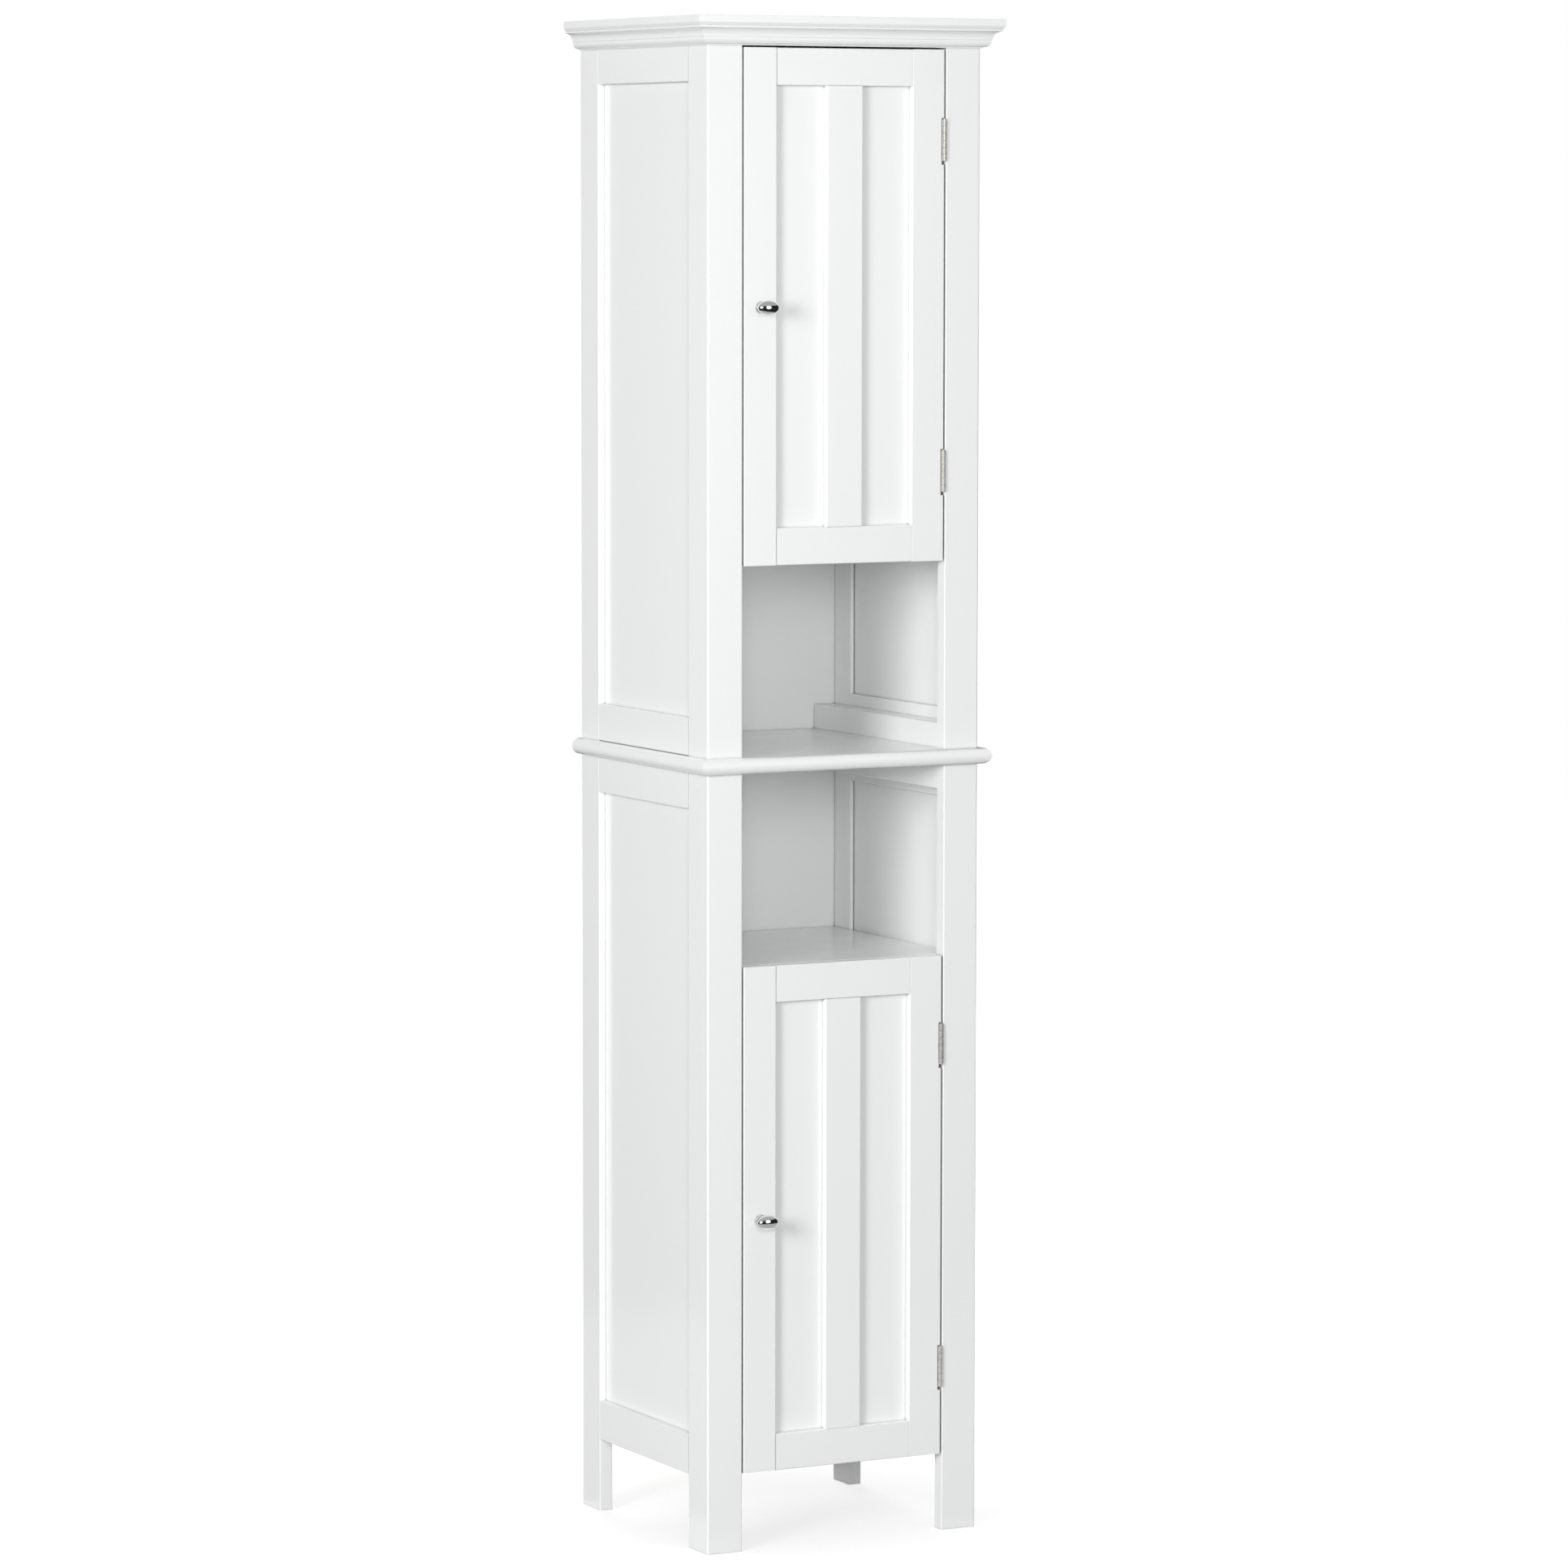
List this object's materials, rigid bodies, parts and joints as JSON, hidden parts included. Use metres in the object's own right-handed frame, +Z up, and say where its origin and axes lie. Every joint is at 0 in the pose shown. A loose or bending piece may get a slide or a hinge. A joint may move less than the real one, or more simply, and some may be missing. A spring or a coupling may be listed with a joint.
{
  "type": "tall bathroom cabinet",
  "caption": "Tall narrow bathroom cabinet in stacked units on square legs, with panelled doors on butt hinges, open niches and a moulded crown.",
  "frame": {"origin": "On the floor, at the centre of the outline seen from above, which reaches from the knobs to the back edges", "axes": "+Z up; the doors and niches face -Y; +X is to the right for someone facing the doors, on the hinge side"},
  "size_m": [0.382, 0.343, 1.7],
  "materials": {
    "painted_wood": "satin white paint on fine-grained wood and fibreboard",
    "painted_board": "satin white paint on board, slightly duller than the frames",
    "chrome_plate": "polished chrome plate",
    "nickel_plate": "nickel-plated steel with a soft sheen",
    "catch_plastic": "white moulded plastic"
  },
  "bodies": {
    "carcass": {"lower_left_rear_stile": "painted_wood", "lower_left_front_stile": "painted_wood", "lower_left_face_stile": "painted_wood", "lower_left_top_rail": "painted_wood", "lower_left_bottom_rail": "painted_wood", "lower_right_rear_stile": "painted_wood", "lower_right_front_stile": "painted_wood", "lower_right_face_stile": "painted_wood", "lower_right_top_rail": "painted_wood", "lower_right_bottom_rail": "painted_wood", "lower_side_panels": "painted_wood", "lower_back_panel": "painted_board", "base_panel": "painted_board", "lower_shelf": "painted_board", "niche_floor": "painted_board", "mid_board": "painted_wood", "upper_left_rear_stile": "painted_wood", "upper_left_front_stile": "painted_wood", "upper_left_face_stile": "painted_wood", "upper_left_top_rail": "painted_wood", "upper_left_bottom_rail": "painted_wood", "upper_right_rear_stile": "painted_wood", "upper_right_front_stile": "painted_wood", "upper_right_face_stile": "painted_wood", "upper_right_top_rail": "painted_wood", "upper_right_bottom_rail": "painted_wood", "upper_side_panels": "painted_wood", "upper_back_panel": "painted_board", "cupboard_floor": "painted_board", "upper_shelf": "painted_board", "header_rail": "painted_wood", "wall_rail": "painted_board", "top_board": "painted_wood", "crown_front_moulding": "painted_wood", "crown_side_mouldings": "painted_wood", "stacking_cleats": "painted_wood", "hinge_frame_leaves": "nickel_plate", "hinge_pins": "nickel_plate", "shelf_pins": "nickel_plate", "cam_locks": "nickel_plate", "cam_bolts": "nickel_plate", "door_catches": "catch_plastic"},
    "upper_door": {"upper_door_knob_stile": "painted_wood", "upper_door_hinge_stile": "painted_wood", "upper_door_top_rail": "painted_wood", "upper_door_bottom_rail": "painted_wood", "upper_door_middle_stile": "painted_wood", "upper_door_panels": "painted_wood", "upper_door_hinge_leaves": "nickel_plate", "upper_knob": "chrome_plate", "upper_strike_plate": "nickel_plate"},
    "lower_door": {"lower_door_knob_stile": "painted_wood", "lower_door_hinge_stile": "painted_wood", "lower_door_top_rail": "painted_wood", "lower_door_bottom_rail": "painted_wood", "lower_door_middle_stile": "painted_wood", "lower_door_panels": "painted_wood", "lower_door_hinge_leaves": "nickel_plate", "lower_knob": "chrome_plate", "lower_strike_plate": "nickel_plate"}
  },
  "joints": [
    {"name": "upper_door_hinge", "type": "hinge", "parent": "carcass", "child": "upper_door", "pos_m": [0.1242, -0.1473, 1.3825], "axis": [0, 0, 1], "range_deg": [0, 170]},
    {"name": "lower_door_hinge", "type": "hinge", "parent": "carcass", "child": "lower_door", "pos_m": [0.1242, -0.1473, 0.3715], "axis": [0, 0, 1], "range_deg": [0, 170]}
  ]
}
